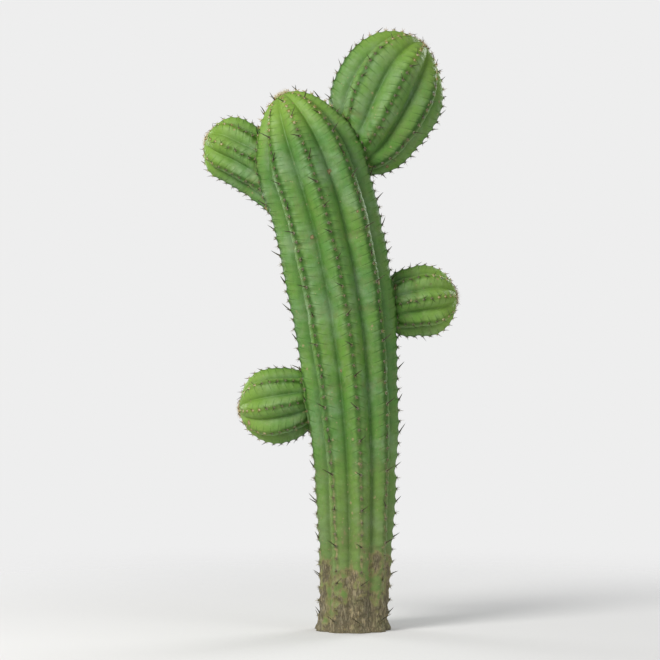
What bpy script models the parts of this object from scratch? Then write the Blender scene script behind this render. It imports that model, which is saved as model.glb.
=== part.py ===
"""Columnar cactus rooted in the ground: one ribbed, leaning stem with four short ribbed arms.

Metres, +Z up. The origin is the middle of the flat cut at ground level, +X is to the viewer's
right and -Y faces the viewer. Every limb lies in an upright plane and is worked out from the
sizes below. Its crests carry areoles, and the long spines stand on some of those.
"""

import math
import random
from functools import cached_property

import bmesh
import bpy
from mathutils import Matrix, Vector

# Ribs: how many, and how deep a furrow is as a share of the crest's radius
RIBS = 9
FURROW_DEPTH = 0.20
FOOT_FURROW_DEPTH = 0.12
FURROW_GROWS_OVER = 0.60

# Stem: its line is a Bezier curve of (leftward lean, height) points
STEM_LINE = ((0.0, 0.0), (0.0, 0.27), (-0.14, 2.14), (0.43, 3.205))
STEM_HEADING = 187.0
STEM_FOOT_RADIUS = 0.209
STEM_BELLY_RADIUS = 0.329
STEM_BELLY_FROM_TIP = 0.57
STEM_SWELL_POWER = 0.83
STEM_PHASE = 5.0
STEM_TWIST = -14.0
FOOT_FLARE = 0.020
FOOT_FLARE_HEIGHT = 0.040

# Arms: the height at which each leaves the stem's line and how far behind that line it starts,
# its heading seen from above (0 right, 90 away from the viewer, 180 left), its Bezier line of
# (outward, upward) points, and its girth at the neck and at the belly
ARMS = {
    "upper_right_arm": {
        "height": 2.680, "set_back": 0.100, "heading": 12.0,
        "line": ((0.0, 0.0), (0.386, 0.151), (0.311, 0.498), (0.655, 0.852)),
        "neck_at": 0.250, "neck_radius": 0.075, "belly_radius": 0.341, "belly_from_tip": 0.375,
        "phase": -2.0, "areole_gap": 0.052, "long_every": 2, "spine_length": 0.052,
    },
    "upper_left_arm": {
        "height": 2.577, "set_back": 0.080, "heading": 170.0,
        "line": ((0.0, 0.0), (0.274, 0.161), (0.446, 0.281), (0.704, 0.376)),
        "neck_at": 0.240, "neck_radius": 0.242, "belly_radius": 0.199, "belly_from_tip": 0.166,
        "phase": 3.0, "areole_gap": 0.047, "long_every": 1, "spine_length": 0.036,
    },
    "middle_right_arm": {
        "height": 1.900, "set_back": 0.080, "heading": 8.0,
        "line": ((0.0, 0.0), (0.290, 0.027), (0.451, 0.077), (0.691, 0.098)),
        "neck_at": 0.290, "neck_radius": 0.157, "belly_radius": 0.219, "belly_from_tip": 0.203,
        "phase": -3.0, "areole_gap": 0.047, "long_every": 1, "spine_length": 0.036,
    },
    "lower_left_arm": {
        "height": 1.396, "set_back": 0.080, "heading": 171.0,
        "line": ((0.0, 0.0), (0.294, -0.004), (0.414, -0.061), (0.681, -0.083)),
        "neck_at": 0.260, "neck_radius": 0.173, "belly_radius": 0.233, "belly_from_tip": 0.216,
        "phase": -3.0, "areole_gap": 0.047, "long_every": 1, "spine_length": 0.036,
    },
}
ROOT_SHARE = 0.45
SEAT_GAP = 0.0005

# Areoles: on the stem their gap shrinks from foot to tip, and every third has a long spine.
# Each rib starts them a share of a gap after its neighbour, and none crowds a limb's very tip
STEM_AREOLE_GAPS = (0.078, 0.042)
STEM_LONG_EVERY = 3
STEM_SPINE_LENGTH = 0.066
FIRST_AREOLE = 0.05
AREOLE_STAGGER = 0.382
LEAST_CREST_RADIUS = 0.055

# Long spines: thickness and sunk root as shares of length, and how far each leans to the tip,
# splays to one side or the other in turn, and lifts off the crest
SPINE_THICKNESS = 0.085
SPINE_ROOT = 0.30
SPINE_SIDES = 3
SPINE_LEAN = 0.55
SPINE_SPLAY = 0.66
SPINE_LIFT = 0.50
SPINE_JITTER = 0.14
SPINE_LENGTH_JITTER = 0.16
SPINE_CLEARANCE = 0.012

# Fineness of the solids
POINTS_PER_RIB = 6
LINE_SAMPLES = 240
AREOLE_SAMPLES = 960
BEADS = 60
CREST_STEP = 0.004
WELD = 0.000001
FOOT_ROWS = (0.0, 0.022, 0.055, 0.12)
STEM_ROWS = 20
STEM_DOME_ROWS = 7
ARM_ROWS = 6
ARM_ROW_POWER = 1.6
ARM_DOME_ROWS = 6

# Colours in linear light, from the drawn green
SKIN_GREEN = (0.105, 0.240, 0.040, 1.0)
SKIN_ROUGHNESS = 0.55


def bezier(points, t):
    """The point at t on the Bezier curve that these points steer."""
    points = [Vector(p) for p in points]
    while len(points) > 1:
        points = [a.lerp(b, t) for a, b in zip(points, points[1:])]
    return points[0]


def look_up(xs, ys, x):
    """The value at x on the line through the points (xs, ys), with xs rising."""
    x = min(max(x, xs[0]), xs[-1])
    low, high = 0, len(xs) - 1
    while high - low > 1:
        middle = (low + high) // 2
        if xs[middle] <= x:
            low = middle
        else:
            high = middle
    return ys[low] + (ys[high] - ys[low]) * (x - xs[low]) / (xs[high] - xs[low])


def furrow_share(turn):
    """How far down the furrow the skin is: 0 on a crest, 1 in a furrow. turn is in ribs."""
    across = 2 * abs((turn + 0.5) % 1 - 0.5)
    return 1 - math.cos(across * math.pi / 2)


class Limb:
    """A ribbed body on a curve in an upright plane. Lengths are measured along the curve."""

    def __init__(self, name, root, heading, line, phase, twist=0.0):
        self.name = name
        self.root = Vector(root)
        way = math.radians(heading)
        self.outward = Vector((math.cos(way), math.sin(way), 0))
        self.front = self.outward.cross(Vector((0, 0, 1)))
        if self.front.y > 0:
            self.front.negate()
        self.phase = phase
        self.twist = twist
        self.line = line
        self.steps = [i / LINE_SAMPLES for i in range(LINE_SAMPLES + 1)]
        spots = [bezier(line, t) for t in self.steps]
        self.lengths = [0.0]
        for a, b in zip(spots, spots[1:]):
            self.lengths.append(self.lengths[-1] + (b - a).length)
        self.length = self.lengths[-1]

    def in_space(self, spot):
        return self.outward * spot.x + Vector((0, 0, spot.y))

    def centre(self, s):
        return self.root + self.in_space(bezier(self.line, look_up(self.lengths, self.steps, s)))

    def tangent(self, s):
        t = look_up(self.lengths, self.steps, s)
        return self.in_space(bezier(self.line[1:], t) - bezier(self.line[:-1], t)).normalized()

    def dome(self, s):
        """1 along the body, falling to 0 at the tip as an ellipse does."""
        past = max(0.0, s - self.belly) / (self.length - self.belly)
        return math.sqrt(max(0.0, 1 - past * past))

    def crest_radius(self, s):
        return self.girth(s) * self.dome(s)

    def crest_angle(self, s, rib):
        return math.radians(self.phase + self.twist * s / self.length + rib * 360 / RIBS)

    def radius(self, s, angle):
        turn = (angle - self.crest_angle(s, 0)) * RIBS / math.tau
        return self.crest_radius(s) * (1 - self.furrow_depth(s) * furrow_share(turn))

    def around(self, s, angle):
        """The level direction at this angle: 0 faces the viewer."""
        right = self.tangent(s).cross(self.front)
        return self.front * math.cos(angle) + right * math.sin(angle)

    def crest(self, s, rib):
        angle = self.crest_angle(s, rib)
        return self.centre(s) + self.around(s, angle) * self.crest_radius(s)

    @cached_property
    def beads(self):
        """The limb as a string of beads: where each is and the crest's radius there."""
        spots = [self.length * i / BEADS for i in range(BEADS + 1)]
        return [(self.centre(s), self.crest_radius(s)) for s in spots]

    def outside_by(self, point):
        """About how far the point is outside this limb's crests, negative inside them."""
        centre, radius = min(self.beads, key=lambda bead: (point - bead[0]).length_squared)
        return (point - centre).length - radius

    def areoles(self, rib):
        """Lengths along the line of this rib's areoles, an even way apart along its crest."""
        found = []
        walked = self.gap_at(self.start) * (1 - rib * AREOLE_STAGGER % 1)
        last = self.crest(self.start, rib)
        for i in range(1, AREOLE_SAMPLES):
            s = self.start + (self.length - self.start) * i / AREOLE_SAMPLES
            here = self.crest(s, rib)
            walked += (here - last).length
            last = here
            if walked >= self.gap_at(s) and self.crest_radius(s) > LEAST_CREST_RADIUS:
                found.append(s)
                walked = 0.0
        return found


class Stem(Limb):
    """The stem: it swells slowly to its belly, and flares a little where it meets the ground."""

    def __init__(self):
        super().__init__("stem", (0, 0, 0), STEM_HEADING, STEM_LINE, STEM_PHASE, STEM_TWIST)
        self.belly = self.length - STEM_BELLY_FROM_TIP
        self.start = FIRST_AREOLE
        self.long_every = STEM_LONG_EVERY
        self.spine_length = STEM_SPINE_LENGTH

    def girth(self, s):
        swell = (1 - math.cos(math.pi * min(1.0, s / self.belly) ** STEM_SWELL_POWER)) / 2
        flare = FOOT_FLARE * math.exp(-((s / FOOT_FLARE_HEIGHT) ** 2))
        return STEM_FOOT_RADIUS + (STEM_BELLY_RADIUS - STEM_FOOT_RADIUS) * swell + flare

    def furrow_depth(self, s):
        share = min(1.0, s / FURROW_GROWS_OVER)
        return FOOT_FURROW_DEPTH + (FURROW_DEPTH - FOOT_FURROW_DEPTH) * share

    def at_height(self, height):
        """The point of the stem's line at this height."""
        heights = [self.centre(s).z for s in self.lengths]
        return self.centre(look_up(heights, self.lengths, height))

    def gap_at(self, s):
        low, high = STEM_AREOLE_GAPS
        return low + (high - low) * s / self.length

    def rows(self):
        climb = [
            FOOT_ROWS[-1] + (self.belly - FOOT_ROWS[-1]) * i / STEM_ROWS
            for i in range(1, STEM_ROWS + 1)
        ]
        return [*FOOT_ROWS, *climb, *dome_rows(self, STEM_DOME_ROWS)]


class Arm(Limb):
    """An arm: it leaves the stem at its neck, swells to its belly and ends in a dome."""

    def __init__(self, name, stem, sizes):
        root = stem.at_height(sizes["height"]) + Vector((0, sizes["set_back"], 0))
        super().__init__(name, root, sizes["heading"], sizes["line"], sizes["phase"])
        self.belly = self.length - sizes["belly_from_tip"]
        self.neck = sizes["neck_at"]
        self.neck_radius = sizes["neck_radius"]
        self.belly_radius = sizes["belly_radius"]
        self.areole_gap = sizes["areole_gap"]
        self.long_every = sizes["long_every"]
        self.spine_length = sizes["spine_length"]
        self.start = self.neck

    def girth(self, s):
        if s < self.neck:
            return self.neck_radius * (ROOT_SHARE + (1 - ROOT_SHARE) * s / self.neck)
        share = min(1.0, (s - self.neck) / (self.belly - self.neck))
        swell = math.sqrt(share * (2 - share))
        return self.neck_radius + (self.belly_radius - self.neck_radius) * swell

    def furrow_depth(self, s):
        return FURROW_DEPTH

    def gap_at(self, s):
        return self.areole_gap

    def rows(self):
        body = [
            self.neck + (self.belly - self.neck) * (i / ARM_ROWS) ** ARM_ROW_POWER
            for i in range(ARM_ROWS + 1)
        ]
        return [0.0, *body, *dome_rows(self, ARM_DOME_ROWS)]


def dome_rows(limb, count):
    """Rows from the belly towards the tip, even in turn round the dome, without the tip."""
    reach = limb.length - limb.belly
    return [limb.belly + reach * math.sin(math.pi / 2 * i / (count + 1)) for i in range(1, count + 1)]


def skin(limb, grow=0.0):
    """A sphere whose rows are laid along the limb and pressed into its ribs."""
    rows = limb.rows()
    mesh = bmesh.new()
    bmesh.ops.create_uvsphere(
        mesh, u_segments=RIBS * POINTS_PER_RIB, v_segments=len(rows) + 1, radius=1.0
    )
    for vertex in mesh.verts:
        row = round((1 - math.acos(max(-1.0, min(1.0, vertex.co.z))) / math.pi) * (len(rows) + 1))
        if row == 0:
            vertex.co = limb.centre(rows[0])
        elif row > len(rows):
            vertex.co = limb.centre(limb.length) + limb.tangent(limb.length) * grow
        else:
            s = rows[row - 1]
            angle = math.atan2(vertex.co.y, vertex.co.x) + limb.crest_angle(s, 0)
            vertex.co = limb.centre(s) + limb.around(s, angle) * (limb.radius(s, angle) + grow)
    bmesh.ops.recalc_face_normals(mesh, faces=mesh.faces)
    return mesh


def spine_axis(limb, s, rib, count):
    """Where a long spine stands, the way it points and its length."""
    chance = random.Random(f"{limb.name} {rib} {count}")
    spot = limb.crest(s, rib)
    along = limb.crest(min(s + CREST_STEP, limb.length), rib) - limb.crest(s - CREST_STEP, rib)
    along.normalize()
    out = limb.around(s, limb.crest_angle(s, rib))
    out = (out - along * out.dot(along)).normalized()
    side = along.cross(out) * (1 if (count + rib) % 2 else -1)
    way = along * SPINE_LEAN + side * SPINE_SPLAY + out * SPINE_LIFT
    way += Vector([chance.uniform(-SPINE_JITTER, SPINE_JITTER) for _ in range(3)])
    length = limb.spine_length * (1 + chance.uniform(-SPINE_LENGTH_JITTER, SPINE_LENGTH_JITTER))
    return spot, way.normalized(), length


def clear_of(limbs, spot, way, length):
    """True if a spine keeps clear of these limbs along its whole length."""
    return all(
        limb.outside_by(spot + way * length * share) > SPINE_CLEARANCE
        for limb in limbs
        for share in (0.0, 0.5, 1.0)
    )


def spine_mesh():
    """A cone one metre long, point up, with its root below the origin."""
    mesh = bmesh.new()
    bmesh.ops.create_cone(
        mesh,
        cap_ends=True,
        segments=SPINE_SIDES,
        radius1=SPINE_THICKNESS / 2,
        radius2=0.0,
        depth=1 + SPINE_ROOT,
        matrix=Matrix.Translation((0, 0, (1 - SPINE_ROOT) / 2)),
    )
    bmesh.ops.remove_doubles(mesh, verts=mesh.verts, dist=WELD)
    return new_mesh("long_spine", mesh)


def spines(limb, others, cone, collection):
    """The cone placed and scaled for each long spine, its root sunk in the crest."""
    for rib in range(RIBS):
        for count, s in enumerate(limb.areoles(rib)[::limb.long_every]):
            spot, way, length = spine_axis(limb, s, rib, count)
            if clear_of(others, spot, way, length):
                spine = bpy.data.objects.new(f"{limb.name}_spine_{rib}_{count}", cone)
                turn = way.to_track_quat("Z", "X")
                spine.matrix_world = Matrix.LocRotScale(spot, turn, Vector((length, length, length)))
                collection.objects.link(spine)


def new_mesh(name, mesh):
    data = bpy.data.meshes.new(name)
    mesh.to_mesh(data)
    mesh.free()
    return data


def new_object(name, mesh, collection):
    made = bpy.data.objects.new(name, new_mesh(name, mesh))
    collection.objects.link(made)
    return made


def new_collection(name):
    made = bpy.data.collections.new(name)
    bpy.context.scene.collection.children.link(made)
    return made


def join_spines(body, collection):
    """Joins a collection of spines to their limb by one Boolean union, and removes them."""
    union = body.modifiers.new("Spines", "BOOLEAN")
    union.operation = "UNION"
    union.solver = "EXACT"
    union.operand_type = "COLLECTION"
    union.collection = collection
    bpy.context.view_layer.update()
    seen = body.evaluated_get(bpy.context.evaluated_depsgraph_get())
    body.data = bpy.data.meshes.new_from_object(seen)
    body.modifiers.remove(union)
    for spine in list(collection.objects):
        bpy.data.objects.remove(spine)
    bpy.data.collections.remove(collection)


def seat_on(body, cutter):
    """Cuts the arm's foot to the stem's ribbed surface, a hair clear of it."""
    cut = body.modifiers.new("Seat on the stem", "BOOLEAN")
    cut.operation = "DIFFERENCE"
    cut.solver = "EXACT"
    cut.object = cutter


def skin_material(name):
    made = bpy.data.materials.new(name)
    made.use_nodes = True
    shader = made.node_tree.nodes["Principled BSDF"]
    shader.inputs["Base Color"].default_value = SKIN_GREEN
    shader.inputs["Roughness"].default_value = SKIN_ROUGHNESS
    shader.inputs["Metallic"].default_value = 0.0
    made.diffuse_color = SKIN_GREEN
    return made


def main():
    for old in list(bpy.data.objects):
        bpy.data.objects.remove(old)
    plant = new_collection("cactus")
    cutters = new_collection("cutters")
    stem = Stem()
    arms = [Arm(name, stem, sizes) for name, sizes in ARMS.items()]

    cutter = new_object("stem_seat_cutter", skin(stem, grow=SEAT_GAP), cutters)
    cutter.hide_render = True
    cutter.display_type = "WIRE"

    cone = spine_mesh()
    for limb in [stem, *arms]:
        body = new_object(limb.name, skin(limb), plant)
        body.data.materials.append(skin_material(f"{limb.name}_skin"))
        loose = new_collection(f"{limb.name}_spines")
        spines(limb, [other for other in [stem, *arms] if other is not limb], cone, loose)
        join_spines(body, loose)
        if limb is not stem:
            seat_on(body, cutter)


main()
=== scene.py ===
"""Looks of the columnar cactus: ribbed skins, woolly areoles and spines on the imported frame.

Metres, +Z up, in the frame's own axes. The limbs' sizes and the rules that place their areoles
and long spines are those of the part's source, written again here. The relief of the skin, the
wool and the short spines follow from them.
"""

import math
import random

import bpy
import numpy as np
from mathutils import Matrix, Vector


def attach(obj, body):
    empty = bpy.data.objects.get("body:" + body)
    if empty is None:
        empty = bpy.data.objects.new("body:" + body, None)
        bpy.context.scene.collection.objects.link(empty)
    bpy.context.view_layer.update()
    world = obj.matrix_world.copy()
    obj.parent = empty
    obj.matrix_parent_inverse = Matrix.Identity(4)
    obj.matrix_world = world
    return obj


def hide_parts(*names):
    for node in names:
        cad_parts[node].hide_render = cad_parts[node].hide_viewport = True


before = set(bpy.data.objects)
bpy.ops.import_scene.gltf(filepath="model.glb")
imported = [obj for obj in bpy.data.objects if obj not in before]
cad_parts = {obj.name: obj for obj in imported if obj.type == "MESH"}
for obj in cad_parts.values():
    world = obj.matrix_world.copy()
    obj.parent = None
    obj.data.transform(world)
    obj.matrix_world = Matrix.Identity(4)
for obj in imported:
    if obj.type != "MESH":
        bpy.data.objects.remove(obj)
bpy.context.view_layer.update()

TAU = 2 * math.pi
UP = np.array((0.0, 0.0, 1.0))
BODY = "root"

# Ribs, stem and arms: the part's own sizes
RIBS = 9
FURROW_DEPTH = 0.20
FOOT_FURROW_DEPTH = 0.12
FURROW_GROWS_OVER = 0.60
STEM_LINE = ((0.0, 0.0), (0.0, 0.27), (-0.14, 2.14), (0.43, 3.205))
STEM_HEADING = 187.0
STEM_FOOT_RADIUS = 0.209
STEM_BELLY_RADIUS = 0.329
STEM_BELLY_FROM_TIP = 0.57
STEM_SWELL_POWER = 0.83
STEM_PHASE = 5.0
STEM_TWIST = -14.0
FOOT_FLARE = 0.020
FOOT_FLARE_HEIGHT = 0.040
SMALL_ARM = dict(set_back=0.080, areole_gap=0.047, long_every=1, spine_length=0.036)
ARMS = {
    "upper_right_arm": dict(
        height=2.680, set_back=0.100, heading=12.0,
        line=((0.0, 0.0), (0.386, 0.151), (0.311, 0.498), (0.655, 0.852)),
        neck_at=0.250, neck_radius=0.075, belly_radius=0.341, belly_from_tip=0.375,
        phase=-2.0, areole_gap=0.052, long_every=2, spine_length=0.052,
    ),
    "upper_left_arm": dict(
        height=2.577, heading=170.0,
        line=((0.0, 0.0), (0.274, 0.161), (0.446, 0.281), (0.704, 0.376)),
        neck_at=0.240, neck_radius=0.242, belly_radius=0.199, belly_from_tip=0.166,
        phase=3.0, **SMALL_ARM,
    ),
    "middle_right_arm": dict(
        height=1.900, heading=8.0,
        line=((0.0, 0.0), (0.290, 0.027), (0.451, 0.077), (0.691, 0.098)),
        neck_at=0.290, neck_radius=0.157, belly_radius=0.219, belly_from_tip=0.203,
        phase=-3.0, **SMALL_ARM,
    ),
    "lower_left_arm": dict(
        height=1.396, heading=171.0,
        line=((0.0, 0.0), (0.294, -0.004), (0.414, -0.061), (0.681, -0.083)),
        neck_at=0.260, neck_radius=0.173, belly_radius=0.233, belly_from_tip=0.216,
        phase=-3.0, **SMALL_ARM,
    ),
}
ROOT_SHARE = 0.45
STEM_AREOLE_GAPS = (0.078, 0.042)
STEM_LONG_EVERY = 3
STEM_SPINE_LENGTH = 0.066
FIRST_AREOLE = 0.05
AREOLE_STAGGER = 0.382
LEAST_CREST_RADIUS = 0.055
SPINE_LEAN = 0.55
SPINE_SPLAY = 0.66
SPINE_LIFT = 0.50
SPINE_JITTER = 0.14
SPINE_LENGTH_JITTER = 0.16
SPINE_CLEARANCE = 0.012
LINE_SAMPLES = 240
AREOLE_SAMPLES = 960
CREST_STEP = 0.004

# Fineness of the skins: columns to a rib, rows to an areole, and smaller rows over the bark
FINE_PER_RIB = 22
ROWS_PER_AREOLE = 6.5
DOME_ROWS_SHARE = 0.8
FOOT_ROW_STEP = 0.005
FOOT_ROWS_TO = (0.50, 0.80)

# Relief of the skin in metres: swellings and creases at the areoles, and pleats on the flanks
TUBERCLE = 0.0070
TUBERCLE_SINK = 0.1
CROWN_POWER = 2.5
NOTCH = 0.0028
NOTCH_PHASE = 0.26
NOTCH_WIDTH = 0.13
NOTCH_SLANT = 0.030
NOTCH_FADES_AT = (0.35, 1.4)
PLEAT = 0.0011
PLEAT_LENGTH = 0.041
PLEAT_SLANT = 5.0
PLEAT_SHIFT = 1.7
FADE_RADIUS = 0.10

# Layers of noise, each with its height, scale and seed
WAVE_LENGTHS = (0.7, 1.5)
SKIN_LUMPS = ((0.0022, 0.34, 11), (0.0007, 0.055, 12))
BARK_LUMPS = ((0.0016, 0.030, 14),)
CORK_EDGE = ((0.10, 0.20, 31), (0.04, 0.05, 32))
WAIST_WAVER = ((0.007, 0.16, 16),)
WAIST_UNEVEN = ((0.2, 0.30, 13),)

# Waists, where a year's growth ended, and healed scars
WAIST = 0.0080
WAIST_WIDTH = 0.027
WAIST_GAPS = (0.33, 0.52)
WAIST_SHARE = 0.8
SCARS_PER_METRE = 6
SCAR_SPAN = (0.15, 0.95)
SCAR_RADII = (0.007, 0.021)
SCAR_DEPTH = 0.0016

# Cork of the old foot. Its cracks are stretched noise, with a scale, a width and a seed
CORK_SPAN = (0.02, 0.64)
BARK_FROM = (0.30, 0.80)
BARK_PROUD = 0.4
CRACK_DEPTH = 0.0052
CRACK_WAVES = 24
UPRIGHT_CRACKS = ((1.0, 1.0, 0.24), 0.055, 0.50, 42)
LEVEL_CRACKS = ((0.30, 0.30, 1.0), 0.044, 0.22, 43)
LEVEL_CRACK_SHARE = 0.6

# Where an arm leaves the stem, the stem fills its furrows and rises, and the arm rounds and
# narrows. Each change has its amount and its reach
FURROW_FILL = (0.55, 0.055)
COLLAR = (0.012, 0.030)
NECK_ROUNDING = (0.65, 0.070)
NECK_PINCH = (0.008, 0.026)
SEAM_REACH = 0.028
HIDDEN_DEPTH = 0.014

# Spines: a cone's shape is its sides and segments, and its root is sunk into the skin
CONE_TAPER = 0.6
NEAR_UPRIGHT = 0.9
LONG_CONE = (6, 5)
SHORT_CONE = (4, 3)
HAIR_CONE = (3, 2)
LONG_WIDTH_SHARE = 0.125
LONG_SINK = 0.004
LONG_BEND = 0.10
SHORT_SINK = 0.002
SHORT_BEND = 0.12
SHORT_CLEARANCE = 0.002
RADIALS = 9
RADIAL_LENGTHS = (0.013, 0.026)
RADIAL_LIFTS = (0.34, 0.66)
RADIAL_JITTER = 0.16
RADIAL_WIDTH = 0.0019
CENTRALS = 2
CENTRAL_LENGTHS = (0.022, 0.034)
CENTRAL_LIFT = 1.35
CENTRAL_JITTER = 0.55
CENTRAL_WIDTH = 0.0027

# Areoles: a low cushion of wool with loose hairs
AREOLE_CLEARANCE = 0.004
SMALL_ARM_SCALE = 0.80
YOUNG_REACH = 0.20
PAD_LENGTH = 0.0075
PAD_WIDTH = 0.0058
PAD_HEIGHT = 0.0040
PAD_SINK = 0.35
PAD_UNEVEN = 0.13
PAD_SEGMENTS = 9
PAD_RINGS = 4
PAD_SIZES = (0.85, 1.2)
HAIRS_PER_AREOLE = 16
HAIR_LENGTH = 0.0085
HAIR_LENGTH_SHARES = (0.5, 1.15)
HAIR_WIDTH = 0.0011
HAIR_REACH = 0.85
HAIR_ROOT_RISE = 0.3
HAIR_SPREAD = 0.7
HAIR_LIFT = 0.8
HAIR_JITTER = 0.45

# Woolly tips
TIP_WOOL_RADIUS = 0.048
TIP_LEAST_SHARE = 0.72
TIP_LEAN = 0.5
TIP_SINK = 0.003
TIP_HAIRS = 1500
TIP_HAIR_LENGTHS = (0.008, 0.019)
TIP_HAIR_WIDTH = 0.0017
TIP_HAIR_JITTER = 0.65
TIP_HAIR_BEND = 0.5
TIP_CUSHIONS = 40
TIP_CUSHION_REACH = 0.88
TIP_CUSHION_SIZES = (1.0, 1.5)
TIP_SPINES = 80
TIP_SPINE_SPAN = (0.05, 1.6)
TIP_SPINE_LENGTHS = (0.014, 0.030)
TIP_SPINE_JITTER = 0.42

# Camera: the drawing's straight-on view, at 6 mm a pixel
METRES_PER_PIXEL = 0.006
IMAGE_SIZE = 660
FOOT_PIXEL = (352.5, 629.5)
LENS_MM = 150.0
SENSOR_MM = 36.0
FARTHEST_SEEN = 200.0

# Studio: a light's place, size, power in watts and colour, and a floor that fades outwards
LIGHTS = {
    "key_light": ((-5.2, -6.0, 6.6), 4.0, 760, (1.0, 0.985, 0.955)),
    "fill_light": ((6.5, -5.5, 3.0), 6.0, 150, (0.96, 0.98, 1.0)),
    "rim_light_right": ((4.6, 5.8, 5.2), 4.0, 230, (1.0, 1.0, 1.0)),
    "rim_light_left": ((-5.6, 5.2, 3.2), 4.0, 170, (1.0, 1.0, 1.0)),
}
LIT_POINT = (-0.1, 0.0, 1.9)
BACKDROP = (0.855, 0.855, 0.855, 1.0)
AMBIENT = 0.34
FLOOR_TONE = (0.79, 0.79, 0.79, 1.0)
FLOOR_RADIUS = 6.8
FLOOR_SIDES = 96
FLOOR_DROP = 0.0005
FLOOR_FADE = (1.3, 6.5)


def linear(red, green, blue):
    """A linear colour from red, green and blue as seen on screen, 0 to 255."""
    seen = [value / 255 for value in (red, green, blue)]
    return (*[v / 12.92 if v <= 0.04045 else ((v + 0.055) / 1.055) ** 2.4 for v in seen], 1.0)


# Skin colours, of the drawing's hue
FLANK_GREEN = linear(104, 150, 52)
FLANK_BLUER = linear(84, 134, 62)
# Deep green of the crests, also used as painted shade in the creases
CREST_GREEN_AND_CREASE_SHADE = linear(50, 94, 16)
# Darker green for the streaks and fine grain, and also painted shade in the furrows
GRAIN_AND_FURROW_SHADE_GREEN = linear(60, 104, 34)
TIP_GREEN = linear(142, 178, 64)
SEASON_GREEN = linear(124, 158, 84)
OLD_GREEN = linear(118, 130, 76)
BLOOM = linear(158, 182, 148)
DRY_TAN = linear(150, 136, 92)
CORK_TAN = linear(168, 152, 120)
CORK_GREY = linear(140, 131, 110)
CORK_BROWN = linear(98, 86, 66)
SCAR_TAN = linear(170, 152, 112)
SCAR_BROWN = linear(112, 92, 58)
SPECK_PALE = linear(150, 184, 104)

# Spine and wool colours
SPINE_TONES = {
    "dark": (linear(44, 42, 18), linear(66, 60, 28)),
    "brown": (linear(82, 72, 36), linear(108, 94, 52)),
    "straw": (linear(142, 128, 80), linear(166, 150, 98)),
    "young": (linear(196, 162, 92), linear(160, 118, 58)),
}
WOOL_TONES = {
    "grey": (linear(134, 132, 104), linear(98, 96, 72)),
    "cream": (linear(218, 212, 172), linear(192, 184, 136)),
}


def smooth_step(low, high, x):
    share = np.clip((x - low) / (high - low), 0.0, 1.0)
    return share * share * (3 - 2 * share)


def unit(vectors):
    return vectors / np.linalg.norm(vectors, axis=-1, keepdims=True)


def dot(a, b):
    return (a * b).sum(axis=-1)


def square_to(ways, vectors):
    """The part of each vector that is square to its way."""
    return vectors - ways * dot(vectors, ways)[:, None]


def lumps(points, scale, seed, waves=16):
    """Smooth noise about 1 high at the points: a sum of waves of about the scale's length."""
    chance = np.random.default_rng(seed)
    total = np.zeros(points.shape[:-1])
    for _ in range(waves):
        way = unit(chance.normal(size=3))
        length = scale * chance.uniform(*WAVE_LENGTHS)
        total += np.sin(points @ way * (TAU / length) + chance.uniform(0, TAU))
    return total / math.sqrt(waves / 2)


def rough(points, layers):
    """Layers of noise at the points, added up."""
    return sum(height * lumps(points, scale, seed) for height, scale, seed in layers)


def composed(ways, shares):
    """The sum of the ways, each times its share."""
    return sum(way * np.asarray(share)[..., None] for way, share in zip(ways, shares))


def bezier(points, t):
    """The points at each t on the Bezier curve that these points steer."""
    t = np.asarray(t, float)[..., None]
    points = [np.asarray(p, float) for p in points]
    while len(points) > 1:
        points = [a + (b - a) * t for a, b in zip(points, points[1:])]
    return points[0] + 0 * t


def across_rib(turn):
    """How far across the flank: 0 on a crest, 1 in a furrow. turn is in ribs."""
    return 2 * np.abs((turn + 0.5) % 1 - 0.5)


def furrow_share(turn):
    """How far down the furrow the skin is: 0 on a crest, 1 in a furrow."""
    return 1 - np.cos(across_rib(turn) * math.pi / 2)


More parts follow.
